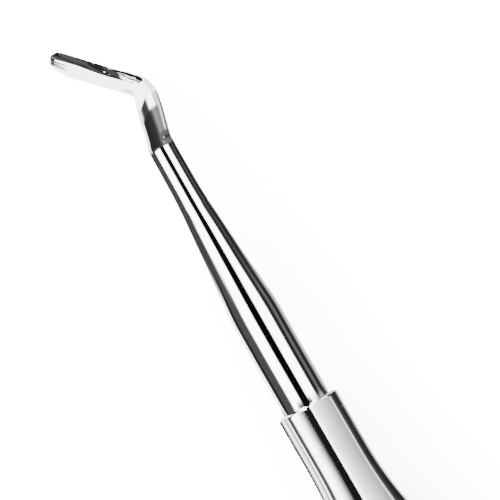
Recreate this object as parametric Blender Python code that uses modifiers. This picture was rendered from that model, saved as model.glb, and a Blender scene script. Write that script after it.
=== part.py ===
"""Dental elevator: a bent gouge on a round steel shank, set in a hollow octagonal handle.

+X runs along the tool towards the tip, +Y is the side the blade points to, +Z is up.
The tool lies on one flat facet of its grip, and the origin is the centre of that facet.
"""

import math

import bmesh
import bpy
from mathutils import Vector

MM = 0.001

# Handle, measured along the tool from the mouth towards the butt.
NECK_LENGTH = 7.5 * MM
NECK_CORNER = 4.08 * MM
GRIP_CORNER = 9.2 * MM
FLARE_HOLLOW_RADIUS = 47.0 * MM
FLARE_ROUND_RADIUS = 40.0 * MM
FLARE_STEPS = 6
SHELL_LENGTH = 88.0 * MM
HANDLE_LENGTH = 100.0 * MM
MOUTH_ROUND = 0.38 * MM
ARRIS_SHARE = 0.14
CROWN = 0.0502
SHELL_WALL = 1.2 * MM

# Round part of the working end: (distance in front of the mouth, radius).
SHANK_RADIUS = 3.175 * MM
CONE_START = (13.4 * MM, SHANK_RADIUS)
CONE_MIDDLE = (20.2 * MM, 2.475 * MM)
CONE_END = (29.5 * MM, 1.79 * MM)
SLIM_END = (36.4 * MM, 1.73 * MM)
NECK_START = (37.6 * MM, 1.56 * MM)
NECK_MIDDLE = (41.0 * MM, 1.6 * MM)
ROOT_RADIUS = 1.31 * MM

# Centre line of the working end, seen from above: (in front of the mouth, towards the blade's side).
LEAN_VERTEX = (7.0 * MM, 0.0)
NECK_VERTEX = (36.52 * MM, -0.29 * MM)
BEND_VERTEX = (43.72 * MM, -2.16 * MM)
LEAN_CURVE = 60.0 * MM
NECK_CURVE = 6.0 * MM
BEND_CURVE = 2.0 * MM
BLADE_ANGLE = math.radians(45.3)

# Blade: distances are from the bend's vertex along the blade.
BLADE_LENGTH = 12.7 * MM
BLADE_HALF_WIDTH = 2.1 * MM
BLADE_HALF_HEIGHT = 1.38 * MM
SADDLE_HEIGHT = 1.19 * MM
MIDDLE_OFFSET = 0.05 * MM
WIDENING = (3.0 * MM, 10.0 * MM)
GOUGE_START = 0.7 * MM
GOUGE_SIDE = math.radians(36)
NEAR_EDGE_FIRST = math.radians(21)
NEAR_EDGE_LAST = math.radians(33)
FAR_EDGE_LAST = math.radians(138)
GOUGE_DEPTH = 0.6 * MM
TIP_START = 11.5 * MM
BACK_RISE_START = 9.9 * MM
EDGE_HEIGHT = 0.2 * MM

# Tang and the pieces that hold it inside the handle, measured behind the mouth.
SHANK_INSET = 4.0 * MM
TANG_RADIUS = 2.2 * MM
TANG_LENGTH = 26.0 * MM
STEP_PLACE = 5.2 * MM
BUSH_START = 16.0 * MM
BUSH_LENGTH = 7.0 * MM
PIN_RADIUS = 0.75 * MM
PIN_PLACE = 19.5 * MM
PIN_LENGTH = 7.0 * MM
GAP = 0.3 * MM
FIT = 0.2 * MM

CORNER_STEPS = 2
FLAT_STEPS = 5
BACK_STEPS = 22
GOUGE_STEPS = 8

OCTAGON = 8
HALF_FACET = math.pi / OCTAGON
WALL_AT_CORNER = SHELL_WALL / math.cos(HALF_FACET)


def crown(corner, share):
    """How far the facets facing +-Y and +-Z stand out in their middle strip."""
    return CROWN * corner * (1 - share / math.cos(HALF_FACET))


def flare_stations():
    """(distance behind the mouth, corner radius) along the two arcs of the flare."""
    both = FLARE_HOLLOW_RADIUS + FLARE_ROUND_RADIUS
    turn = math.acos(1 - (GRIP_CORNER - NECK_CORNER) / both)
    end = NECK_LENGTH + both * math.sin(turn)
    stations = []
    for i in range(FLARE_STEPS + 1):
        angle = turn * i / FLARE_STEPS
        rise = FLARE_HOLLOW_RADIUS * (1 - math.cos(angle))
        stations.append((NECK_LENGTH + FLARE_HOLLOW_RADIUS * math.sin(angle), NECK_CORNER + rise))
    for i in range(1, FLARE_STEPS + 1):
        angle = turn * (1 - i / FLARE_STEPS)
        fall = FLARE_ROUND_RADIUS * (1 - math.cos(angle))
        stations.append((end - FLARE_ROUND_RADIUS * math.sin(angle), GRIP_CORNER - fall))
    return stations


FLARE = flare_stations()
MOUTH_X = (FLARE[-1][0] + SHELL_LENGTH) / 2
AXIS_Z = GRIP_CORNER * math.cos(HALF_FACET) + crown(GRIP_CORNER, ARRIS_SHARE)


def start_clean():
    for old in list(bpy.data.objects):
        bpy.data.objects.remove(old)


def new_collection(name):
    made = bpy.data.collections.new(name)
    bpy.context.scene.collection.children.link(made)
    return made


def steel(name, color, roughness, metallic=1.0):
    material = bpy.data.materials.new(name)
    material.use_nodes = True
    shader = material.node_tree.nodes["Principled BSDF"]
    shader.inputs["Base Color"].default_value = (*color, 1.0)
    shader.inputs["Roughness"].default_value = roughness
    shader.inputs["Metallic"].default_value = metallic
    return material


def place(obj, collection, material=None):
    for home in list(obj.users_collection):
        home.objects.unlink(obj)
    collection.objects.link(obj)
    if material:
        obj.data.materials.append(material)
    return obj


def shade(mesh):
    mesh.shade_smooth()
    mesh.set_sharp_from_angle(angle=math.radians(35))


def loft(name, rings, collection, material, endless=False):
    """One closed skin through rings of equal point counts; an endless one joins its last ring to its first."""
    work = bmesh.new()
    rows = [[work.verts.new(point) for point in ring] for ring in rings]
    pairs = list(zip(rows, rows[1:]))
    if endless:
        pairs.append((rows[-1], rows[0]))
    for near, far in pairs:
        for i, vertex in enumerate(near):
            following = (i + 1) % len(near)
            work.faces.new((vertex, near[following], far[following], far[i]))
    if not endless:
        work.faces.new(list(reversed(rows[0])))
        work.faces.new(rows[-1])
    bmesh.ops.recalc_face_normals(work, faces=work.faces)
    mesh = bpy.data.meshes.new(name)
    work.to_mesh(mesh)
    work.free()
    shade(mesh)
    return place(bpy.data.objects.new(name, mesh), collection, material)


def octagon_ring(behind, corner, share=ARRIS_SHARE):
    """Octagon with rounded arrises, at a distance behind the mouth; facets facing +-Y and +-Z are crowned."""
    rounding = corner * share
    reach = corner - rounding / math.cos(HALF_FACET)
    points = []
    for i in range(OCTAGON):
        middle = HALF_FACET + i * 2 * HALF_FACET
        for step in range(CORNER_STEPS + 1):
            turned = middle + HALF_FACET * (2 * step / CORNER_STEPS - 1)
            y = reach * math.cos(middle) + rounding * math.cos(turned)
            z = reach * math.sin(middle) + rounding * math.sin(turned)
            points.append(Vector((MOUTH_X - behind, y, AXIS_Z + z)))
    ring = []
    for i, point in enumerate(points):
        ring.append(point)
        facet, arris_step = divmod(i, CORNER_STEPS + 1)
        if arris_step < CORNER_STEPS:
            continue
        following = points[(i + 1) % len(points)]
        facing = 2 * HALF_FACET * (facet + 1)
        bulge = crown(corner, share) if facet % 2 else 0
        for step in range(1, FLAT_STEPS):
            past_strip = (abs(2 * step - FLAT_STEPS) - 1) / (FLAT_STEPS - 1)
            lift = bulge * (1 - past_strip**3)
            outward = Vector((0, lift * math.cos(facing), lift * math.sin(facing)))
            ring.append(point.lerp(following, step / FLAT_STEPS) + outward)
    return ring


def round_ring(behind, radius):
    """Circular section with as many points as the octagon's, starting in the same direction."""
    count = OCTAGON * (CORNER_STEPS + FLAT_STEPS)
    lead = HALF_FACET * (1 - CORNER_STEPS / (CORNER_STEPS + FLAT_STEPS))
    ring = []
    for i in range(count):
        angle = lead + 2 * math.pi * i / count
        ring.append((MOUTH_X - behind, radius * math.cos(angle), AXIS_Z + radius * math.sin(angle)))
    return ring


def outer_rings():
    """The shell's outside from the rounded mouth to its rear edge."""
    rings = []
    steps = 3
    for i in range(steps + 1):
        angle = math.pi / 2 * i / steps
        inset = MOUTH_ROUND * (1 - math.sin(angle))
        rings.append(octagon_ring(MOUTH_ROUND * (1 - math.cos(angle)), NECK_CORNER - inset))
    rings += [octagon_ring(behind, corner) for behind, corner in FLARE]
    rings.append(octagon_ring(SHELL_LENGTH, GRIP_CORNER))
    return rings


def make_shell(collection, material):
    """Hollow handle: round bores for the shank and tang in its neck, octagonal inside behind them."""
    hollow = FLARE[2:]
    tang_hole = TANG_RADIUS + GAP
    mouth_bore = SHANK_RADIUS + FIT
    rings = outer_rings()
    rings.append(octagon_ring(SHELL_LENGTH, GRIP_CORNER - WALL_AT_CORNER))
    rings += [octagon_ring(behind, corner - WALL_AT_CORNER) for behind, corner in reversed(hollow)]
    rings.append(round_ring(hollow[0][0] - GAP, tang_hole))
    rings.append(round_ring(STEP_PLACE, tang_hole))
    rings.append(round_ring(STEP_PLACE, mouth_bore))
    rings.append(round_ring(0, mouth_bore))
    return loft("handle_shell", rings, collection, material, endless=True)


def make_butt_cap(collection, material):
    """Domed end of the handle with a spigot that enters the shell's open rear."""
    spigot = GRIP_CORNER - WALL_AT_CORNER - GAP
    spigot_length = 5.0 * MM
    lead_in = 0.6 * MM
    shoulder = SHELL_LENGTH + FIT
    rings = [
        octagon_ring(shoulder - spigot_length, spigot - lead_in),
        octagon_ring(shoulder - spigot_length + lead_in, spigot),
        octagon_ring(shoulder, spigot),
        octagon_ring(shoulder, GRIP_CORNER),
    ]
    dome = HANDLE_LENGTH - shoulder
    steps = 8
    last = math.radians(76)
    for i in range(1, steps + 1):
        angle = last * i / steps
        size = math.cos(angle)
        share = 1 - (1 - ARRIS_SHARE) * size
        behind = shoulder + dome * math.sin(angle) / math.sin(last)
        rings.append(octagon_ring(behind, GRIP_CORNER * size, share))
    return loft("butt_cap", rings, collection, material)


def filleted(vertices, radii):
    """Stretches (start, heading, length, curvature) of a polyline whose inner corners are arcs."""
    stretches = []
    here = Vector(vertices[0])
    for i in range(1, len(vertices) - 1):
        corner = Vector(vertices[i])
        before = (corner - Vector(vertices[i - 1])).normalized()
        after = (Vector(vertices[i + 1]) - corner).normalized()
        heading = math.atan2(before.y, before.x)
        turn = math.atan2(after.y, after.x) - heading
        trim = radii[i - 1] * math.tan(abs(turn) / 2)
        straight = (corner - here).length - trim
        stretches.append((here, heading, straight, 0.0))
        arc_start = corner - before * trim
        curvature = math.copysign(1 / radii[i - 1], turn)
        stretches.append((arc_start, heading, radii[i - 1] * abs(turn), curvature))
        here = corner + after * trim
    last = Vector(vertices[-1]) - here
    stretches.append((here, math.atan2(last.y, last.x), last.length, 0.0))
    return stretches


def follow(stretches, distance):
    """Point and heading at a distance along filleted stretches."""
    for start, heading, length, curvature in stretches:
        if distance <= length or start is stretches[-1][0]:
            break
        distance -= length
    if curvature:
        turned = heading + curvature * distance
        dx = (math.sin(turned) - math.sin(heading)) / curvature
        dy = (math.cos(heading) - math.cos(turned)) / curvature
        return start + Vector((dx, dy)), turned
    return start + distance * Vector((math.cos(heading), math.sin(heading))), heading


def blend(value, low, high):
    """Smooth step from 0 at low to 1 at high."""
    share = min(1.0, max(0.0, (value - low) / (high - low)))
    return share * share * (3 - 2 * share)


BLADE_TIP = (
    BEND_VERTEX[0] + BLADE_LENGTH * math.cos(BLADE_ANGLE),
    BEND_VERTEX[1] + BLADE_LENGTH * math.sin(BLADE_ANGLE),
)
PATH = filleted(
    [(0.0, 0.0), LEAN_VERTEX, NECK_VERTEX, BEND_VERTEX, BLADE_TIP],
    [LEAN_CURVE, NECK_CURVE, BEND_CURVE],
)
PATH_LENGTH = sum(stretch[2] for stretch in PATH)
BEND_START = sum(stretch[2] for stretch in PATH[:5])
BEND_END = BEND_START + PATH[5][2]
BLADE_ZERO = PATH_LENGTH - BLADE_LENGTH
OUTLINE = filleted(
    [(0.0, SHANK_RADIUS), CONE_START, CONE_MIDDLE, CONE_END, SLIM_END],
    [35 * MM, 60 * MM, 60 * MM],
)


def shank_radius(distance):
    """Radius of the round part of the working end at a distance along its centre line."""
    if distance < SLIM_END[0]:
        point, _ = follow(OUTLINE, distance)
        return point.y
    radius = SLIM_END[1] + (NECK_START[1] - SLIM_END[1]) * blend(distance, SLIM_END[0], NECK_START[0])
    radius += (NECK_MIDDLE[1] - NECK_START[1]) * blend(distance, NECK_START[0], NECK_MIDDLE[0])
    return radius + (ROOT_RADIUS - NECK_MIDDLE[1]) * blend(distance, NECK_MIDDLE[0], BEND_END + 0.5 * MM)


def gouge_edges(distance):
    """Directions, round the section, of the gouge's two edges; behind the gouge they only place points."""
    along = distance - BLADE_ZERO
    gathered = blend(distance, NECK_START[0], BLADE_ZERO + GOUGE_START)
    half_gap = math.radians(45) * (1 - gathered)
    near = GOUGE_SIDE - half_gap
    near += (NEAR_EDGE_FIRST - GOUGE_SIDE) * blend(along, 0.8 * GOUGE_START, 2.2 * GOUGE_START)
    near += (NEAR_EDGE_LAST - NEAR_EDGE_FIRST) * blend(along, 4.0 * MM, 9.5 * MM)
    far = GOUGE_SIDE + half_gap + math.radians(1)
    far += (FAR_EDGE_LAST - GOUGE_SIDE) * blend(along, 1.4 * MM, 8.4 * MM)
    return near, far


def fall(along, start, end, rounding, power):
    """1 up to start, then a rounded fall to 0 at end."""
    share = min(1.0, max(0.0, (along - start) / (end - start)))
    return (1 - share**rounding) ** power


def working_section(distance):
    """Section as (towards +Z, towards the outside of the bend) offsets: round, or cut by the gouge."""
    along = distance - BLADE_ZERO
    radius = shank_radius(distance)
    bladed = blend(along, *WIDENING)
    half_width = radius + (BLADE_HALF_WIDTH - radius) * bladed
    under = radius + (BLADE_HALF_HEIGHT - radius) * bladed
    over = radius + (SADDLE_HEIGHT - radius) * blend(along, 2.2 * MM, 4.8 * MM)
    over += (BLADE_HALF_HEIGHT - SADDLE_HEIGHT) * blend(along, 5.0 * MM, 9.0 * MM)
    middle = MIDDLE_OFFSET * blend(along, 0.0, GOUGE_START)
    near_edge, far_edge = gouge_edges(distance)
    narrowed = fall(along, TIP_START, BLADE_LENGTH, 2.2, 0.46)
    far_narrowed = fall(along, TIP_START, BLADE_LENGTH, 6.0, 0.42)
    risen = fall(along, BACK_RISE_START, BLADE_LENGTH, 1.0, 0.6)
    depth = GOUGE_DEPTH * blend(along, -1.0 * MM, 8.0 * MM) * (0.55 + 0.45 * risen)

    def skin(angle):
        rise = math.sin(angle)
        side = math.cos(angle)
        n = middle + (over if rise > 0 else under) * rise
        if risen < 1:
            n = EDGE_HEIGHT + (n - EDGE_HEIGHT) * (risen if n < EDGE_HEIGHT else 0.8 + 0.2 * far_narrowed)
        return Vector((half_width * (narrowed if side > 0 else far_narrowed) * side, n))

    section = []
    for i in range(BACK_STEPS + 1):
        section.append(skin(far_edge + (2 * math.pi + near_edge - far_edge) * i / BACK_STEPS))
    near = skin(near_edge)
    far = skin(far_edge)
    chord = far - near
    inward = Vector((chord.y, -chord.x)).normalized()
    depth = min(depth * narrowed, 0.3 * chord.length)
    cut = blend(along, GOUGE_START, 2.5 * GOUGE_START)
    for i in range(1, GOUGE_STEPS):
        share = i / GOUGE_STEPS
        hollow = near + chord * share - inward * depth * 4 * share * (1 - share)
        uncut = skin(near_edge + (far_edge - near_edge) * i / GOUGE_STEPS)
        section.append(uncut.lerp(hollow, cut))
    return section


def working_ring(distance):
    """The section set square to the centre line."""
    point, heading = follow(PATH, distance)
    across = (math.sin(heading), -math.cos(heading))
    x = MOUTH_X + point.x
    return [(x + across[0] * n, point.y + across[1] * n, AXIS_Z + w) for w, n in working_section(distance)]


def tang_ring(behind, radius):
    """Round section of the tang with the same point layout as the shank."""
    x = MOUTH_X - behind
    scale = radius / SHANK_RADIUS
    return [(x, -n * scale, AXIS_Z + w * scale) for w, n in working_section(0.0)]


def spread(start, end, count):
    return [start + (end - start) * i / count for i in range(count)]


def working_stations():
    """Distances along the centre line where a ring is needed, closest together on the bend and the tip."""
    slim = CONE_END[0] + 2 * MM
    stations = spread(CONE_START[0] - 1.8 * MM, slim, 9)
    stations += spread(slim, SLIM_END[0], 2)
    stations += spread(SLIM_END[0], NECK_START[0], 4)
    stations += spread(NECK_START[0], BEND_START, 3)
    stations += spread(BEND_START, BEND_END, 7)
    stations += spread(BEND_END, TIP_START + BLADE_ZERO, 18)
    round_end = BLADE_LENGTH - TIP_START
    for i in range(7):
        stations.append(TIP_START + BLADE_ZERO + round_end * math.sin(math.pi / 2 * i / 7))
    stations.append(PATH_LENGTH - 0.01 * MM)
    return stations


def make_working_end(collection, cutters, material):
    """Blade, neck, shank and tang, forged in one piece, with the pin's hole through the tang."""
    lead_in = 0.6 * MM
    rings = [
        tang_ring(TANG_LENGTH, TANG_RADIUS - lead_in),
        tang_ring(TANG_LENGTH - lead_in, TANG_RADIUS),
        tang_ring(SHANK_INSET, TANG_RADIUS),
        tang_ring(SHANK_INSET, SHANK_RADIUS),
    ]
    rings += [working_ring(distance) for distance in working_stations()]
    made = loft("working_end", rings, collection, material)
    drill(made, cutters, PIN_RADIUS + FIT)
    return made


def upright(name, radius, length, x, z):
    """A round bar standing along Z."""
    work = bmesh.new()
    bmesh.ops.create_cone(
        work, cap_ends=True, segments=24, radius1=radius, radius2=radius, depth=length
    )
    mesh = bpy.data.meshes.new(name)
    work.to_mesh(mesh)
    work.free()
    shade(mesh)
    made = bpy.data.objects.new(name, mesh)
    made.location = (x, 0, z)
    return made


def drill(obj, cutters, radius):
    """Cuts the cross pin's hole through a piece."""
    cutter = upright(obj.name + "_drill", radius, 30 * MM, MOUTH_X - PIN_PLACE, AXIS_Z)
    place(cutter, cutters)
    cutter.hide_render = True
    cutter.display_type = "WIRE"
    cut = obj.modifiers.new("pin_hole", "BOOLEAN")
    cut.operation = "DIFFERENCE"
    cut.solver = "EXACT"
    cut.object = cutter


def flare_corner(behind):
    """Corner radius of the handle's outside on the first arc of its flare."""
    run = behind - NECK_LENGTH
    return NECK_CORNER + FLARE_HOLLOW_RADIUS - math.sqrt(FLARE_HOLLOW_RADIUS**2 - run**2)


def make_bush(collection, cutters, material):
    """Tapered steel bush wedged in the flare, which carries the inner end of the tang."""
    clearance = WALL_AT_CORNER + GAP
    steps = 3
    places = [BUSH_START + BUSH_LENGTH * i / steps for i in range(steps + 1)]
    rings = [octagon_ring(behind, flare_corner(behind) - clearance) for behind in places]
    rings += [round_ring(behind, TANG_RADIUS + GAP) for behind in (places[-1], places[0])]
    made = loft("tang_bush", rings, collection, material, endless=True)
    drill(made, cutters, PIN_RADIUS + FIT)
    return made


def make_pin(collection, material):
    """Cross pin through the bush and the tang."""
    made = upright("tang_pin", PIN_RADIUS, PIN_LENGTH, MOUTH_X - PIN_PLACE, AXIS_Z)
    rounded = made.modifiers.new("rounded_ends", "BEVEL")
    rounded.width = 0.15 * MM
    rounded.segments = 2
    return place(made, collection, material)


def make_braze_ring(collection, material):
    """Ring of brazing alloy round the root of the tang, between the shank's shoulder and the bore's step."""
    inner = TANG_RADIUS + FIT
    outer = SHANK_RADIUS - FIT
    front = -SHANK_INSET - FIT
    rear = -STEP_PLACE + FIT
    profile = bpy.data.meshes.new("braze_ring")
    corners = [(outer, 0, front), (outer, 0, rear), (inner, 0, rear), (inner, 0, front)]
    profile.from_pydata(corners, [(0, 1), (1, 2), (2, 3), (3, 0)], [])
    made = bpy.data.objects.new("braze_ring", profile)
    made.location = (MOUTH_X, 0, AXIS_Z)
    made.rotation_euler = (0, math.pi / 2, 0)
    turned = made.modifiers.new("turned", "SCREW")
    turned.axis = "Z"
    turned.steps = 32
    turned.render_steps = 32
    turned.use_merge_vertices = True
    turned.merge_threshold = 0.00001
    turned.use_smooth_shade = True
    return place(made, collection, material)


def main():
    start_clean()
    parts = new_collection("dental_elevator")
    cutters = new_collection("cutters")
    polished = steel("polished_steel", (0.72, 0.73, 0.74), 0.08)
    handle = steel("handle_steel", (0.70, 0.71, 0.72), 0.16)
    inner = steel("inner_steel", (0.45, 0.46, 0.47), 0.4)
    alloy = steel("braze_alloy", (0.75, 0.68, 0.50), 0.35)
    make_working_end(parts, cutters, polished)
    make_shell(parts, handle)
    make_butt_cap(parts, handle)
    make_bush(parts, cutters, inner)
    make_pin(parts, inner)
    make_braze_ring(parts, alloy)


main()
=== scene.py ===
import math

import bmesh
import bpy
from mathutils import Matrix, Vector


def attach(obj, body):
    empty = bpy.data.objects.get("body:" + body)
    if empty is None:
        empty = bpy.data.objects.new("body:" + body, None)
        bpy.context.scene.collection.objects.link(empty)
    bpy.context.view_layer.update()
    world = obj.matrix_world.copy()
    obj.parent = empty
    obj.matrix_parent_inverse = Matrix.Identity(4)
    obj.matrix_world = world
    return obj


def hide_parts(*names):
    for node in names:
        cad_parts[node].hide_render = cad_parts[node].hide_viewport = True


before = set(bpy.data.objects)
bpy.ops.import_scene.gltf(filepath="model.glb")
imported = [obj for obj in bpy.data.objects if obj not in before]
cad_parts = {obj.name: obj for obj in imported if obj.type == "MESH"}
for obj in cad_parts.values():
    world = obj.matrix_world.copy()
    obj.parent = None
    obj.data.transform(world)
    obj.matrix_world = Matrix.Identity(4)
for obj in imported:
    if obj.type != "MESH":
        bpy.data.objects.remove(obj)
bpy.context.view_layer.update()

MM = 0.001

# Handle, measured along the tool from the mouth towards the butt.
NECK_LENGTH = 7.5 * MM
NECK_CORNER = 4.08 * MM
GRIP_CORNER = 9.2 * MM
FLARE_HOLLOW_RADIUS = 47.0 * MM
FLARE_ROUND_RADIUS = 40.0 * MM
SHELL_LENGTH = 88.0 * MM
HANDLE_LENGTH = 100.0 * MM
SHELL_WALL = 1.2 * MM
MOUTH_BORE = 3.26 * MM
MOUTH_EDGE = 3.45 * MM
MOUTH_ROUND = 0.55 * MM
MOUTH_BEVEL_LENGTH = 0.12 * MM
MOUTH_BEVEL = 0.06 * MM
BORE_STEP = 5.2 * MM
TANG_BORE = 2.5 * MM
TANG_BORE_END = 13.0 * MM
CAP_GAP = 0.06 * MM
CAP_BEVEL = 0.12 * MM
SPIGOT_LENGTH = 5.0 * MM
SPIGOT_LEAD_IN = 0.6 * MM
SPIGOT_GAP = 0.3 * MM
DOME_SHARE = 0.96

# How far a facet's edges are rolled from its middle, for the flatter and the rounder facets.
FLAT_ROLL = math.radians(4)
ROUND_ROLL = math.radians(24)
FACETS = 8
FACET_STEPS = 21
ARRIS_SHARE = 0.04

# Round part of the working end: (distance in front of the mouth, radius).
SHANK_RADIUS = 3.175 * MM
CONE_START = (13.4 * MM, SHANK_RADIUS)
CONE_MIDDLE = (20.2 * MM, 2.475 * MM)
CONE_END = (29.5 * MM, 1.79 * MM)
SLIM_END = (36.4 * MM, 1.73 * MM)
CONE_CURVES = [35 * MM, 60 * MM, 60 * MM]
NECK_START = (37.6 * MM, 1.56 * MM)
NECK_MIDDLE = (41.0 * MM, 1.6 * MM)
ROOT_RADIUS = 1.31 * MM
TANG_LENGTH = 26.0 * MM
TANG_RADIUS = 2.2 * MM
TANG_END_RADIUS = 1.6 * MM
SHANK_INSET = 4.0 * MM

# Centre line of the working end, seen from above: (in front of the mouth, towards the blade's side).
LEAN_VERTEX = (7.0 * MM, 0.0)
NECK_VERTEX = (36.52 * MM, -0.29 * MM)
BEND_VERTEX = (43.72 * MM, -2.16 * MM)
LEAN_CURVE = 60.0 * MM
NECK_CURVE = 6.0 * MM
BEND_CURVE = 2.0 * MM
BLADE_ANGLE = math.radians(45.3)

# Blade: distances are from the bend's vertex along the blade.
BLADE_LENGTH = 12.7 * MM
BLADE_HALF_WIDTH = 2.1 * MM
BLADE_HALF_HEIGHT = 1.38 * MM
SADDLE_HEIGHT = 1.19 * MM
MIDDLE_OFFSET = 0.05 * MM
WIDENING = (3.0 * MM, 10.0 * MM)
SADDLE_FALL = (2.2 * MM, 4.8 * MM)
SADDLE_RISE = (5.0 * MM, 9.0 * MM)
GOUGE_START = 0.7 * MM
GOUGE_SIDE = math.radians(36)
NEAR_EDGE_FIRST = math.radians(21)
NEAR_EDGE_LAST = math.radians(33)
FAR_EDGE_LAST = math.radians(138)
NEAR_EDGE_TURN = (4.0 * MM, 9.5 * MM)
FAR_EDGE_TURN = (1.4 * MM, 8.4 * MM)
GOUGE_DEPTH = 0.6 * MM
GOUGE_DEEPENING = (-1.0 * MM, 8.0 * MM)
TIP_START = 11.5 * MM
BACK_RISE_START = 9.9 * MM
EDGE_HEIGHT = 0.2 * MM

# How each side of the tip narrows and the back rises, as fall's rounding and power.
NEAR_NARROWING = (2.2, 0.46)
FAR_NARROWING = (6.0, 0.42)
BACK_RISE = (1.0, 0.6)

# How many steps each rounded or curved stretch is cut into.
SHELL_STEPS = 40
MOUTH_STEPS = 24
DOME_STEPS = 40
TIP_STEPS = 40
BACK_STEPS = 120
GOUGE_STEPS = 48

HALF_FACET = math.pi / FACETS
WALL_AT_CORNER = SHELL_WALL / math.cos(HALF_FACET)
VIEW_TURN = math.radians(22.5)
TENT_RADIUS = 14 * MM
TUBE_RADIUS = 4.6 * MM
TENT_REACH = 600 * MM
TENT_PROFILE = (
    (-TENT_REACH, TENT_RADIUS),
    (26.5 * MM, TENT_RADIUS),
    (28.5 * MM, TUBE_RADIUS),
    (43.0 * MM, TUBE_RADIUS),
    (43.6 * MM, TENT_RADIUS),
    (TENT_REACH, TENT_RADIUS),
)
TENT_SIDES = 256
DARKEST = -9
EXPOSURE_RANGE = 14


def station_list():
    """(distance behind the mouth, corner radius) of the shell behind its rounded mouth."""
    both = FLARE_HOLLOW_RADIUS + FLARE_ROUND_RADIUS
    turn = math.acos(1 - (GRIP_CORNER - NECK_CORNER) / both)
    end = NECK_LENGTH + both * math.sin(turn)
    stations = [(1.0 * MM, NECK_CORNER), (4.0 * MM, NECK_CORNER)]
    for i in range(SHELL_STEPS + 1):
        angle = turn * i / SHELL_STEPS
        rise = FLARE_HOLLOW_RADIUS * (1 - math.cos(angle))
        stations.append((NECK_LENGTH + FLARE_HOLLOW_RADIUS * math.sin(angle), NECK_CORNER + rise))
    for i in range(1, SHELL_STEPS + 1):
        angle = turn * (1 - i / SHELL_STEPS)
        drop = FLARE_ROUND_RADIUS * (1 - math.cos(angle))
        stations.append((end - FLARE_ROUND_RADIUS * math.sin(angle), GRIP_CORNER - drop))
    stations.append((SHELL_LENGTH, GRIP_CORNER))
    return stations, end


STATIONS, FLARE_END = station_list()
MOUTH_X = (FLARE_END + SHELL_LENGTH) / 2
AXIS_Z = GRIP_CORNER * (math.cos(HALF_FACET) + math.sin(HALF_FACET) * math.tan(ROUND_ROLL) / 4)


def loft(name, rings, endless=False):
    """One closed skin through rings of equal point counts."""
    work = bmesh.new()
    rows = [[work.verts.new(point) for point in ring] for ring in rings]
    pairs = list(zip(rows, rows[1:]))
    if endless:
        pairs.append((rows[-1], rows[0]))
    for near, far in pairs:
        for i, vertex in enumerate(near):
            following = (i + 1) % len(near)
            work.faces.new((vertex, near[following], far[following], far[i]))
    if not endless:
        work.faces.new(list(reversed(rows[0])))
        work.faces.new(rows[-1])
    bmesh.ops.recalc_face_normals(work, faces=work.faces)
    mesh = bpy.data.meshes.new(name)
    work.to_mesh(mesh)
    work.free()
    mesh.shade_smooth()
    mesh.set_sharp_from_angle(angle=math.radians(22))
    made = bpy.data.objects.new(name, mesh)
    bpy.context.scene.collection.objects.link(made)
    return made


def handle_outline(corner):
    """Points (y, z) round the handle's section: rounder facets face +-Y and +-Z, nearly flat ones between."""
    half = corner * math.sin(HALF_FACET)
    chord = corner * math.cos(HALF_FACET)
    outline = []
    for facet in range(FACETS):
        if facet % 2:
            power, bulge = 2, half * math.tan(FLAT_ROLL) / 2
        else:
            power, bulge = 4, half * math.tan(ROUND_ROLL) / 4
        turn = facet * 2 * HALF_FACET
        for i in range(FACET_STEPS):
            share = 2 * i / (FACET_STEPS - 1) - 1
            if i == 0:
                share += ARRIS_SHARE
            if i == FACET_STEPS - 1:
                share -= ARRIS_SHARE
            across = half * share
            out = chord + bulge * (1 - abs(share) ** power)
            y = across * math.cos(turn) + out * math.sin(turn)
            z = out * math.cos(turn) - across * math.sin(turn)
            outline.append((y, z))
    return outline


def handle_ring(behind, corner, limit=None):
    """The handle's section at a distance behind the mouth; no point is further from the axis than limit."""
    ring = []
    for y, z in handle_outline(corner):
        reach = math.hypot(y, z)
        scale = min(1.0, limit / reach) if limit else 1.0
        ring.append((MOUTH_X - behind, y * scale, AXIS_Z + z * scale))
    return ring


def round_ring(behind, radius):
    """Circle with the handle section's points, each in its own direction."""
    ring = []
    for y, z in handle_outline(NECK_CORNER):
        reach = math.hypot(y, z)
        ring.append((MOUTH_X - behind, y * radius / reach, AXIS_Z + z * radius / reach))
    return ring


def make_shell():
    """Hollow handle: rounded mouth, neck, flare and grip outside, and round bores opening into the grip."""
    rings = []
    past_corner = NECK_CORNER + 0.02 * MM
    for i in range(MOUTH_STEPS + 1):
        angle = math.pi / 2 * i / MOUTH_STEPS
        limit = MOUTH_EDGE + (past_corner - MOUTH_EDGE) * math.sin(angle)
        rings.append(handle_ring(MOUTH_ROUND * (1 - math.cos(angle)), NECK_CORNER, limit))
    rings += [handle_ring(behind, corner) for behind, corner in STATIONS]
    rings.append(handle_ring(SHELL_LENGTH, GRIP_CORNER - WALL_AT_CORNER))
    rings.append(handle_ring(FLARE_END, GRIP_CORNER - WALL_AT_CORNER))
    rings.append(round_ring(TANG_BORE_END, TANG_BORE))
    rings.append(round_ring(BORE_STEP, TANG_BORE))
    rings.append(round_ring(BORE_STEP, MOUTH_BORE))
    rings.append(round_ring(MOUTH_BEVEL_LENGTH, MOUTH_BORE))
    rings.append(round_ring(0, MOUTH_BORE + MOUTH_BEVEL))
    return loft("handle", rings, endless=True)


def cap_outline(corner, share):
    """Section of the butt: from the grip's octagon at share 0 to a circle at share 1."""
    ring = []
    for y, z in handle_outline(corner):
        reach = math.hypot(y, z)
        scale = 1 + (corner * DOME_SHARE / reach - 1) * share
        ring.append((y * scale, z * scale))
    return ring


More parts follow.
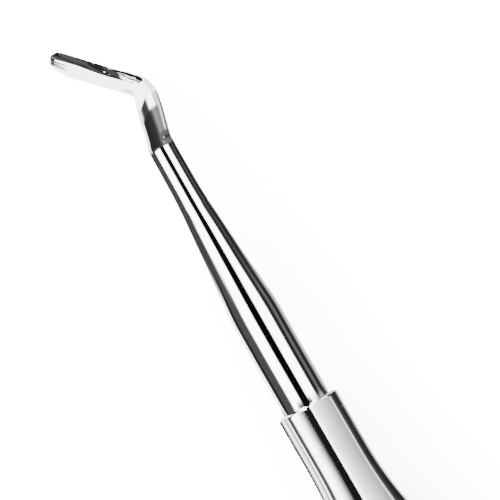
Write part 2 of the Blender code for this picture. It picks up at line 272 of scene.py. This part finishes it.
def make_cap():
    """Domed end of the handle, with a spigot that enters the shell's open rear."""
    shoulder = SHELL_LENGTH + CAP_GAP
    spigot = GRIP_CORNER - WALL_AT_CORNER - SPIGOT_GAP
    rings = [
        handle_ring(shoulder - SPIGOT_LENGTH, spigot - SPIGOT_LEAD_IN),
        handle_ring(shoulder - SPIGOT_LENGTH + SPIGOT_LEAD_IN, spigot),
        handle_ring(shoulder, spigot),
        handle_ring(shoulder, GRIP_CORNER - CAP_BEVEL),
        handle_ring(shoulder + CAP_BEVEL, GRIP_CORNER),
    ]
    dome = HANDLE_LENGTH - shoulder - CAP_BEVEL
    last = math.radians(88)
    for i in range(1, DOME_STEPS + 1):
        angle = last * i / DOME_STEPS
        size = math.cos(angle)
        x = MOUTH_X - shoulder - CAP_BEVEL - dome * math.sin(angle) / math.sin(last)
        rings.append([(x, y, AXIS_Z + z) for y, z in cap_outline(GRIP_CORNER * size, 1 - size)])
    return loft("butt", rings)


def filleted(vertices, radii):
    """Stretches (start, heading, length, curvature) of a polyline whose inner corners are arcs."""
    stretches = []
    here = Vector(vertices[0])
    for i in range(1, len(vertices) - 1):
        corner = Vector(vertices[i])
        before = (corner - Vector(vertices[i - 1])).normalized()
        after = (Vector(vertices[i + 1]) - corner).normalized()
        heading = math.atan2(before.y, before.x)
        turn = math.atan2(after.y, after.x) - heading
        trim = radii[i - 1] * math.tan(abs(turn) / 2)
        straight = (corner - here).length - trim
        stretches.append((here, heading, straight, 0.0))
        arc_start = corner - before * trim
        curvature = math.copysign(1 / radii[i - 1], turn)
        stretches.append((arc_start, heading, radii[i - 1] * abs(turn), curvature))
        here = corner + after * trim
    last = Vector(vertices[-1]) - here
    stretches.append((here, math.atan2(last.y, last.x), last.length, 0.0))
    return stretches


def follow(stretches, distance):
    """Point and heading at a distance along filleted stretches."""
    for start, heading, length, curvature in stretches:
        if distance <= length or start is stretches[-1][0]:
            break
        distance -= length
    if curvature:
        turned = heading + curvature * distance
        dx = (math.sin(turned) - math.sin(heading)) / curvature
        dy = (math.cos(heading) - math.cos(turned)) / curvature
        return start + Vector((dx, dy)), turned
    return start + distance * Vector((math.cos(heading), math.sin(heading))), heading


def blend(value, low, high):
    """Smooth step from 0 at low to 1 at high."""
    share = min(1.0, max(0.0, (value - low) / (high - low)))
    return share * share * (3 - 2 * share)


BLADE_TIP = (
    BEND_VERTEX[0] + BLADE_LENGTH * math.cos(BLADE_ANGLE),
    BEND_VERTEX[1] + BLADE_LENGTH * math.sin(BLADE_ANGLE),
)
PATH = filleted(
    [(0.0, 0.0), LEAN_VERTEX, NECK_VERTEX, BEND_VERTEX, BLADE_TIP],
    [LEAN_CURVE, NECK_CURVE, BEND_CURVE],
)
PATH_LENGTH = sum(stretch[2] for stretch in PATH)
BEND_START = sum(stretch[2] for stretch in PATH[:5])
BEND_END = BEND_START + PATH[5][2]
BLADE_ZERO = PATH_LENGTH - BLADE_LENGTH
OUTLINE = filleted(
    [(0.0, SHANK_RADIUS), CONE_START, CONE_MIDDLE, CONE_END, SLIM_END],
    CONE_CURVES,
)


def shank_radius(distance):
    """Radius of the round part of the working end at a distance along its centre line."""
    if distance < SLIM_END[0]:
        point, _ = follow(OUTLINE, distance)
        return point.y
    radius = SLIM_END[1] + (NECK_START[1] - SLIM_END[1]) * blend(distance, SLIM_END[0], NECK_START[0])
    radius += (NECK_MIDDLE[1] - NECK_START[1]) * blend(distance, NECK_START[0], NECK_MIDDLE[0])
    return radius + (ROOT_RADIUS - NECK_MIDDLE[1]) * blend(distance, NECK_MIDDLE[0], BEND_END + 0.5 * MM)


def gouge_edges(distance):
    """Directions, round the section, of the gouge's two edges; behind the gouge they only place points."""
    along = distance - BLADE_ZERO
    gathered = blend(distance, NECK_START[0], BLADE_ZERO + GOUGE_START)
    half_gap = math.radians(45) * (1 - gathered)
    near = GOUGE_SIDE - half_gap
    near += (NEAR_EDGE_FIRST - GOUGE_SIDE) * blend(along, 0.8 * GOUGE_START, 2.2 * GOUGE_START)
    near += (NEAR_EDGE_LAST - NEAR_EDGE_FIRST) * blend(along, *NEAR_EDGE_TURN)
    far = GOUGE_SIDE + half_gap + math.radians(1)
    far += (FAR_EDGE_LAST - GOUGE_SIDE) * blend(along, *FAR_EDGE_TURN)
    return near, far


def fall(along, start, end, rounding, power):
    """1 up to start, then a rounded fall to 0 at end."""
    share = min(1.0, max(0.0, (along - start) / (end - start)))
    return (1 - share**rounding) ** power


def working_section(distance):
    """Section as (towards +Z, towards the outside of the bend) offsets: round, or cut by the gouge."""
    along = distance - BLADE_ZERO
    radius = shank_radius(distance)
    bladed = blend(along, *WIDENING)
    half_width = radius + (BLADE_HALF_WIDTH - radius) * bladed
    under = radius + (BLADE_HALF_HEIGHT - radius) * bladed
    over = radius + (SADDLE_HEIGHT - radius) * blend(along, *SADDLE_FALL)
    over += (BLADE_HALF_HEIGHT - SADDLE_HEIGHT) * blend(along, *SADDLE_RISE)
    middle = MIDDLE_OFFSET * blend(along, 0.0, GOUGE_START)
    near_edge, far_edge = gouge_edges(distance)
    narrowed = fall(along, TIP_START, BLADE_LENGTH, *NEAR_NARROWING)
    far_narrowed = fall(along, TIP_START, BLADE_LENGTH, *FAR_NARROWING)
    risen = fall(along, BACK_RISE_START, BLADE_LENGTH, *BACK_RISE)
    depth = GOUGE_DEPTH * blend(along, *GOUGE_DEEPENING) * (0.55 + 0.45 * risen)

    def skin(angle):
        rise = math.sin(angle)
        side = math.cos(angle)
        n = middle + (over if rise > 0 else under) * rise
        if risen < 1:
            n = EDGE_HEIGHT + (n - EDGE_HEIGHT) * (risen if n < EDGE_HEIGHT else 0.8 + 0.2 * far_narrowed)
        return Vector((half_width * (narrowed if side > 0 else far_narrowed) * side, n))

    section = []
    for i in range(BACK_STEPS + 1):
        section.append(skin(far_edge + (2 * math.pi + near_edge - far_edge) * i / BACK_STEPS))
    near = skin(near_edge)
    far = skin(far_edge)
    chord = far - near
    inward = Vector((chord.y, -chord.x)).normalized()
    depth = min(depth * narrowed, 0.3 * chord.length)
    cut = blend(along, GOUGE_START, 2.5 * GOUGE_START)
    for i in range(1, GOUGE_STEPS):
        share = i / GOUGE_STEPS
        hollow = near + chord * share - inward * depth * 4 * share * (1 - share)
        uncut = skin(near_edge + (far_edge - near_edge) * i / GOUGE_STEPS)
        section.append(uncut.lerp(hollow, cut))
    return section


def working_ring(distance):
    """The section set square to the centre line."""
    point, heading = follow(PATH, distance)
    across = (math.sin(heading), -math.cos(heading))
    x = MOUTH_X + point.x
    return [(x + across[0] * n, point.y + across[1] * n, AXIS_Z + w) for w, n in working_section(distance)]


def tang_ring(behind, radius):
    """Circle with the working section's points, at a distance behind the mouth."""
    x = MOUTH_X - behind
    scale = radius / SHANK_RADIUS
    return [(x, -n * scale, AXIS_Z + w * scale) for w, n in working_section(0.0)]


def spread(start, end, count):
    """count evenly spaced distances from start, leaving out end."""
    return [start + (end - start) * i / count for i in range(count)]


def working_stations():
    """Distances along the working end at which it has a ring, closest where its shape changes most."""
    stations = spread(0.0, SLIM_END[0] - 0.2 * MM, 60)
    stations += spread(SLIM_END[0] - 0.2 * MM, NECK_START[0] + 0.2 * MM, 24)
    stations += spread(NECK_START[0] + 0.2 * MM, BEND_START, 16)
    stations += spread(BEND_START, BEND_END, 36)
    stations += spread(BEND_END, BACK_RISE_START + BLADE_ZERO, 120)
    stations += spread(BACK_RISE_START + BLADE_ZERO, TIP_START + BLADE_ZERO, 20)
    round_end = BLADE_LENGTH - TIP_START
    for i in range(TIP_STEPS):
        stations.append(TIP_START + BLADE_ZERO + round_end * math.sin(math.pi / 2 * i / TIP_STEPS))
    stations.append(PATH_LENGTH - 0.002 * MM)
    return stations


def make_working_end():
    """Tang, shank, neck and gouged blade as one skin."""
    rings = [
        tang_ring(TANG_LENGTH, TANG_END_RADIUS),
        tang_ring(TANG_LENGTH - TANG_RADIUS + TANG_END_RADIUS, TANG_RADIUS),
        tang_ring(SHANK_INSET, TANG_RADIUS),
        tang_ring(SHANK_INSET, SHANK_RADIUS),
    ]
    rings += [working_ring(distance) for distance in working_stations()]
    return loft("blade_and_shank", rings)


def polished(name, color, low, high, grain, scratch):
    """Worn metal: roughness wandering between low and high, drawn lines and fine scratches in the surface.

    grain is the height of the drawn lines and scratch that of the scratches, in metres.
    """
    material = bpy.data.materials.new(name)
    material.use_nodes = True
    nodes = material.node_tree.nodes
    links = material.node_tree.links
    shader = nodes["Principled BSDF"]
    shader.inputs["Metallic"].default_value = 1.0
    where = nodes.new("ShaderNodeTexCoord")

    def noise(scale, detail, distortion, vector):
        texture = nodes.new("ShaderNodeTexNoise")
        texture.inputs["Scale"].default_value = scale
        texture.inputs["Detail"].default_value = detail
        texture.inputs["Distortion"].default_value = distortion
        links.new(vector, texture.inputs["Vector"])
        return texture.outputs["Fac"]

    def ranged(value, start, end, first, last):
        node = nodes.new("ShaderNodeMapRange")
        for socket, number in zip(("From Min", "From Max", "To Min", "To Max"), (start, end, first, last)):
            node.inputs[socket].default_value = number
        links.new(value, node.inputs["Value"])
        return node.outputs["Result"]

    def joined(operation, first, second):
        node = nodes.new("ShaderNodeMath")
        node.operation = operation
        for socket, value in zip(node.inputs, (first, second)):
            if isinstance(value, (int, float)):
                socket.default_value = value
            else:
                links.new(value, socket)
        return node.outputs["Value"]

    stretch = nodes.new("ShaderNodeMapping")
    stretch.inputs["Scale"].default_value = (0.02, 1.0, 1.0)
    links.new(where.outputs["Object"], stretch.inputs["Vector"])
    lines = noise(9000.0, 3.0, 0.0, stretch.outputs["Vector"])
    cloud = noise(260.0, 4.0, 0.0, where.outputs["Object"])
    wander = noise(700.0, 5.0, 1.6, where.outputs["Object"])
    nearness = joined("ABSOLUTE", joined("SUBTRACT", wander, 0.5), 0.0)
    scratches = ranged(nearness, 0.0, 0.004, 1.0, 0.0)
    patches = ranged(noise(420.0, 1.0, 0.0, where.outputs["Object"]), 0.5, 0.62, 0.0, 1.0)
    sparse = joined("MULTIPLY", scratches, patches)

    roughness = joined("MULTIPLY_ADD", sparse, 0.04)
    links.new(ranged(cloud, 0.3, 0.7, low, high), roughness.node.inputs[2])
    links.new(roughness, shader.inputs["Roughness"])

    tint = nodes.new("ShaderNodeMix")
    tint.data_type = "RGBA"
    tint.inputs[6].default_value = (*[0.94 * c for c in color], 1.0)
    tint.inputs[7].default_value = (*color, 1.0)
    links.new(ranged(cloud, 0.35, 0.55, 0.0, 1.0), tint.inputs["Factor"])
    links.new(tint.outputs[2], shader.inputs["Base Color"])

    drawn = nodes.new("ShaderNodeBump")
    drawn.inputs["Strength"].default_value = 1.0
    drawn.inputs["Distance"].default_value = grain
    links.new(lines, drawn.inputs["Height"])
    scored = nodes.new("ShaderNodeBump")
    scored.inputs["Strength"].default_value = 1.0
    scored.inputs["Distance"].default_value = -scratch
    links.new(sparse, scored.inputs["Height"])
    links.new(drawn.outputs["Normal"], scored.inputs["Normal"])
    links.new(scored.outputs["Normal"], shader.inputs["Normal"])
    return material


def light_tent(profile, zones):
    """Tube of light round the tool, seen only in its reflections.

    profile is (distance in front of the mouth, radius) of its rings. zones are (start in front of the mouth,
    fade length, stops), and stops are (degrees left of the camera, exposure).
    """
    points = []
    for x, radius in profile:
        for i in range(TENT_SIDES):
            angle = 2 * math.pi * i / TENT_SIDES
            points.append((x, radius * math.sin(angle), radius * math.cos(angle)))
    faces = []
    for ring in range(len(profile) - 1):
        for i in range(TENT_SIDES):
            near = ring * TENT_SIDES + i
            following = ring * TENT_SIDES + (i + 1) % TENT_SIDES
            faces.append((near, following, following + TENT_SIDES, near + TENT_SIDES))
    mesh = bpy.data.meshes.new("light_tent")
    mesh.from_pydata(points, [], faces)
    tent = bpy.data.objects.new("light_tent", mesh)
    bpy.context.scene.collection.objects.link(tent)
    tent.location = (MOUTH_X, 0, AXIS_Z)
    tent.rotation_euler = (VIEW_TURN, 0, 0)
    material = bpy.data.materials.new("tent_light")
    material.use_nodes = True
    nodes = material.node_tree.nodes
    links = material.node_tree.links
    nodes.clear()
    out = nodes.new("ShaderNodeOutputMaterial")
    glow = nodes.new("ShaderNodeEmission")
    links.new(glow.outputs["Emission"], out.inputs["Surface"])
    where = nodes.new("ShaderNodeTexCoord")
    parts = nodes.new("ShaderNodeSeparateXYZ")
    links.new(where.outputs["Object"], parts.inputs["Vector"])
    turn = nodes.new("ShaderNodeMath")
    turn.operation = "ARCTAN2"
    links.new(parts.outputs["Y"], turn.inputs[0])
    links.new(parts.outputs["Z"], turn.inputs[1])
    share = nodes.new("ShaderNodeMapRange")
    share.inputs["From Min"].default_value = -math.pi
    share.inputs["From Max"].default_value = math.pi
    links.new(turn.outputs["Value"], share.inputs["Value"])
    mixed = None
    for start, fade, stops in zones:
        curve = nodes.new("ShaderNodeValToRGB")
        ramp = curve.color_ramp
        ramp.interpolation = "LINEAR"
        stops = sorted(stops)
        while len(ramp.elements) < len(stops):
            ramp.elements.new(0.5)
        for element, (degrees, exposure) in zip(ramp.elements, stops):
            value = (exposure - DARKEST) / EXPOSURE_RANGE
            element.position = (degrees + 180) / 360
            element.color = (value, value, value, 1)
        links.new(share.outputs["Result"], curve.inputs["Fac"])
        if mixed is None:
            mixed = curve.outputs["Color"]
            continue
        reach = nodes.new("ShaderNodeMapRange")
        reach.interpolation_type = "SMOOTHSTEP"
        reach.inputs["From Min"].default_value = start - fade / 2
        reach.inputs["From Max"].default_value = start + fade / 2
        links.new(parts.outputs["X"], reach.inputs["Value"])
        joined = nodes.new("ShaderNodeMix")
        joined.data_type = "RGBA"
        links.new(reach.outputs["Result"], joined.inputs["Factor"])
        links.new(mixed, joined.inputs[6])
        links.new(curve.outputs["Color"], joined.inputs[7])
        mixed = joined.outputs[2]
    scaled = nodes.new("ShaderNodeMath")
    scaled.operation = "MULTIPLY_ADD"
    links.new(mixed, scaled.inputs[0])
    scaled.inputs[1].default_value = EXPOSURE_RANGE
    scaled.inputs[2].default_value = DARKEST
    power = nodes.new("ShaderNodeMath")
    power.operation = "POWER"
    power.inputs[0].default_value = 2
    links.new(scaled.outputs["Value"], power.inputs[1])
    links.new(power.outputs["Value"], glow.inputs["Strength"])
    tent.data.materials.append(material)
    tent.visible_camera = False
    tent.visible_diffuse = False
    tent.visible_shadow = False


blade = make_working_end()
handle = make_shell()
butt = make_cap()
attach(blade, "root")
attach(handle, "root")
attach(butt, "root")
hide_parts("working_end")
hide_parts("handle_shell")
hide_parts("butt_cap")

mirror_steel = polished("mirror_steel", (0.9, 0.9, 0.9), 0.03, 0.05, 0.3e-6, 0.4e-6)
satin_steel = polished("satin_steel", (0.9, 0.9, 0.89), 0.055, 0.075, 1.2e-6, 1.0e-6)
turned_steel = polished("turned_steel", (0.72, 0.71, 0.69), 0.28, 0.38, 4.0e-6, 2.0e-6)
pin_steel = polished("pin_steel", (0.62, 0.62, 0.64), 0.2, 0.3, 3.0e-6, 2.0e-6)
silver_braze = polished("silver_braze", (0.86, 0.8, 0.66), 0.32, 0.5, 6.0e-6, 1.0e-6)
blade.data.materials.append(mirror_steel)
handle.data.materials.append(satin_steel)
butt.data.materials.append(satin_steel)
for name, inner in (("tang_bush", turned_steel), ("tang_pin", pin_steel), ("braze_ring", silver_braze)):
    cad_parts[name].data.materials.clear()
    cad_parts[name].data.materials.append(inner)


def seen(share, stops):
    """Tent stops for what a round bar shows where its surface is turned so many degrees left of the camera.

    share is the bar's radius over the tent's.
    """
    placed = []
    for turn, exposure in stops:
        shift = math.asin(share * math.sin(math.radians(turn)))
        placed.append((2 * turn - math.degrees(shift), exposure))
    return placed


# Each zone's stops are set for what its stretch of the tool shows to the scene's camera.
SHANK_LIGHT = seen(
    SHANK_RADIUS / TENT_RADIUS,
    [
        (-90, 1.5),
        (-76, 0.7),
        (-69, 0.15),
        (-64, -0.8),
        (-60, -2.6),
        (-56, -5.6),
        (-51, -5.0),
        (-47.6, -3.0),
        (-44.4, -2.1),
        (-41, -3.2),
        (-38, -4.8),
        (-35, -6.2),
        (-32, -3.5),
        (-29.8, 2.5),
        (-28, 3.5),
        (-10, 3.5),
        (-8, 0.0),
        (-6.3, -8.0),
        (5.2, -8.0),
        (7, 0.0),
        (9, 3.6),
        (29, 3.6),
        (31, 0.5),
        (33.5, -3.4),
        (50, -3.5),
        (54, -5.4),
        (60, -5.6),
        (63.5, 1.0),
        (66, 2.5),
        (90, 2.5),
    ],
)
SLIM = [
    (-90, 1.5),
    (-76, 1.2),
    (-70, -0.8),
    (-64, -4.6),
    (-57, -5.8),
    (-50, -4.4),
    (-45, -3.4),
    (-41, -4.2),
    (-36, -6.2),
    (-32, -4.0),
    (-29, 2.5),
    (-27, 3.5),
    (-12, 3.5),
    (-9.5, 0.0),
    (-7.5, -8.0),
    (4.0, -8.0),
    (6.5, 0.0),
    (9, 3.6),
    (32, 3.6),
    (35, 0.5),
    (38, -3.6),
    (60, -3.8),
    (72, -4.6),
    (77, 1.5),
    (90, 2.5),
]
SLIM_LIGHT = seen(CONE_END[1] / TENT_RADIUS, SLIM)
TUBE_LIGHT = seen(CONE_END[1] / TUBE_RADIUS, SLIM)
HANDLE_LIGHT = [
    (-180, 1.8),
    (-129, 1.2),
    (-123.5, 0.0),
    (-119.5, -5.4),
    (-117, -5.2),
    (-108, -3.8),
    (-96, -3.4),
    (-89, -1.5),
    (-84, 1.2),
    (-62, 1.0),
    (-51, -0.7),
    (-45, 0.2),
    (-32, 1.7),
    (-29, 3.0),
    (-27, 2.0),
    (-25, -6.0),
    (26.5, -6.0),
    (29.2, -3.4),
    (32.5, -1.6),
    (36, -0.3),
    (39.5, 2.4),
    (41, 3.2),
    (53, 3.2),
    (59, -0.8),
    (66, -3.2),
    (108, -3.6),
    (111, 2.0),
    (114.5, 2.2),
    (117, -1.8),
    (119.5, 2.2),
    (124, 2.0),
    (127.5, -5.0),
]
SHOULDER_LIGHT = [
    (-180, -1.0),
    (-130, -1.5),
    (-115, -1.8),
    (-104, -2.6),
    (-84, -2.6),
    (-20, -2.3),
    (-8, -3.4),
    (0, -4.4),
    (8, -3.0),
    (30, -1.8),
    (44, -3.2),
    (66, -5.0),
    (76, -4.0),
    (84, 1.0),
    (180, 1.0),
]
NECK_LIGHT = [
    (-180, 1.0),
    (-112, 0.8),
    (-104, -1.9),
    (-96, -3.0),
    (-86, -2.2),
    (-80, 1.0),
    (-70, 1.2),
    (-64, -0.8),
    (-56, -1.7),
    (-44, -1.2),
    (-30, -1.0),
    (-22, -2.4),
    (-14, -3.2),
    (-4, -4.4),
    (60, -5.0),
    (76, -6.0),
    (82, -2.0),
    (88, 1.0),
    (96, 2.2),
    (180, 2.0),
]
NECK_END_LIGHT = [
    (-180, 1.5),
    (-112, 1.2),
    (-104, -1.6),
    (-96, -2.6),
    (-86, -2.2),
    (-80, 1.0),
    (-64, 1.2),
    (-60, -0.2),
    (-54, 1.8),
    (-48, 3.0),
    (-20, 3.0),
    (-12, 0.5),
    (-4, -3.0),
    (6, -3.8),
    (40, -3.8),
    (50, -2.6),
    (62, -1.0),
    (72, 1.0),
    (88, 1.8),
    (180, 2),
]
ROOT_LIGHT = [
    (-180, 1.5),
    (-170, 1.0),
    (-164, -4.6),
    (-126, -5.0),
    (-120, 2.2),
    (-96, 2.5),
    (-86, 0.6),
    (-78, 0.8),
    (-68, 2.6),
    (180, 2.6),
]
CREST = [
    (-180, -3.2),
    (-152, -3.4),
    (-142, -6.0),
    (-69, -6.0),
    (-61, -2.0),
    (-51, 0.5),
    (-43, 1.0),
    (-36, -2.8),
    (-20, -3.8),
    (-17, 2.6),
]
TIP_END = [(84, -3.4), (89, 2.4), (180, 2.4)]
BASE_LIGHT = [
    (-180, -2.6),
    (-168, -4.4),
    (-156, -5.6),
    (-150, 1.0),
    (-130, 2.2),
    (-96, 2.5),
    (-86, 0.6),
    (-78, 0.8),
    (-68, 2.6),
    (56, 2.6),
    (61, -3.4),
]
SIDE_LIGHT = CREST + [(42, 2.6), (47, -3.4)] + TIP_END
RISE_LIGHT = CREST + [(22, 2.6), (27, -3.4)]
LINE_LIGHT = [
    (-180, -3.2),
    (-126, -3.6),
    (-119, 0.5),
    (-112, 1.4),
    (-50, 1.6),
    (-42, -1.0),
    (-34, -3.0),
    (-24, -3.2),
    (-19, 2.6),
    (14, 2.6),
    (20, -3.2),
]
LIP_LIGHT = [(-180, -3.2), (-24, -3.2), (-19, 2.6), (0, 2.6), (7, -2.8), (180, -3.4)]
GOUGE_LIGHT = [(-180, -3.0), (-20, -3.0), (100, -3.2), (180, -3.0)]
FAR_LIGHT = [(-180, -4.8), (180, -4.8)]
light_tent(
    TENT_PROFILE,
    [
        (-1.0, 0.001, HANDLE_LIGHT),
        (0.0, 2 * MM, SHANK_LIGHT),
        (20 * MM, 9 * MM, SLIM_LIGHT),
        (27.5 * MM, 2 * MM, TUBE_LIGHT),
        (36.5 * MM, 0.3 * MM, SHOULDER_LIGHT),
        (37.2 * MM, 0.5 * MM, NECK_LIGHT),
        (40.8 * MM, 0.8 * MM, NECK_END_LIGHT),
        (42.8 * MM, 0.6 * MM, ROOT_LIGHT),
        (50 * MM, 0.6 * MM, BASE_LIGHT + TIP_END),
        (55 * MM, 2 * MM, SIDE_LIGHT),
        (60 * MM, 2 * MM, RISE_LIGHT + TIP_END),
        (64.5 * MM, 0.5 * MM, RISE_LIGHT),
        (69 * MM, 0.5 * MM, LINE_LIGHT),
        (73 * MM, 1 * MM, LIP_LIGHT),
        (80 * MM, 2 * MM, GOUGE_LIGHT),
        (88 * MM, 4 * MM, FAR_LIGHT),
    ],
)

world = bpy.data.worlds.new("studio")
bpy.context.scene.world = world
world.use_nodes = True
world.node_tree.nodes["Background"].inputs["Color"].default_value = (1, 1, 1, 1)
world.node_tree.nodes["Background"].inputs["Strength"].default_value = 17.0

bpy.ops.mesh.primitive_plane_add(size=3, location=(0, 0, 0))
floor = bpy.context.object
floor.name = "floor"
paper = bpy.data.materials.new("paper")
paper.use_nodes = True
paper.node_tree.nodes["Principled BSDF"].inputs["Base Color"].default_value = (0.9, 0.9, 0.9, 1)
paper.node_tree.nodes["Principled BSDF"].inputs["Roughness"].default_value = 1.0
floor.data.materials.append(paper)
floor.visible_glossy = False

sun = bpy.data.lights.new("overhead", "SUN")
sun.energy = 12
sun.angle = math.radians(120)
overhead = bpy.data.objects.new("overhead", sun)
bpy.context.scene.collection.objects.link(overhead)
overhead.visible_glossy = False

toward = Vector((0, -math.sin(VIEW_TURN), math.cos(VIEW_TURN)))
left = Vector((0, math.cos(VIEW_TURN), math.sin(VIEW_TURN)))
along = Vector((1, 0, 0))
CAMERA_ROLL = math.radians(29.9)
CAMERA_DISTANCE = 599.4 * MM
MOUTH_RIGHT_OF_CENTRE = 7.02 * MM
MOUTH_BELOW_CENTRE = 19.03 * MM
up = along * math.cos(CAMERA_ROLL) - left * math.sin(CAMERA_ROLL)
right = -along * math.sin(CAMERA_ROLL) - left * math.cos(CAMERA_ROLL)
target = Vector((MOUTH_X, 0, AXIS_Z)) - right * MOUTH_RIGHT_OF_CENTRE + up * MOUTH_BELOW_CENTRE
lens = bpy.data.cameras.new("camera")
lens.type = "PERSP"
lens.lens = 350
lens.sensor_width = 36
lens.clip_start = 0.01
camera = bpy.data.objects.new("camera", lens)
bpy.context.scene.collection.objects.link(camera)
place = Matrix((right, up, toward)).transposed().to_4x4()
place.translation = target + toward * CAMERA_DISTANCE
camera.matrix_world = place
bpy.context.scene.camera = camera
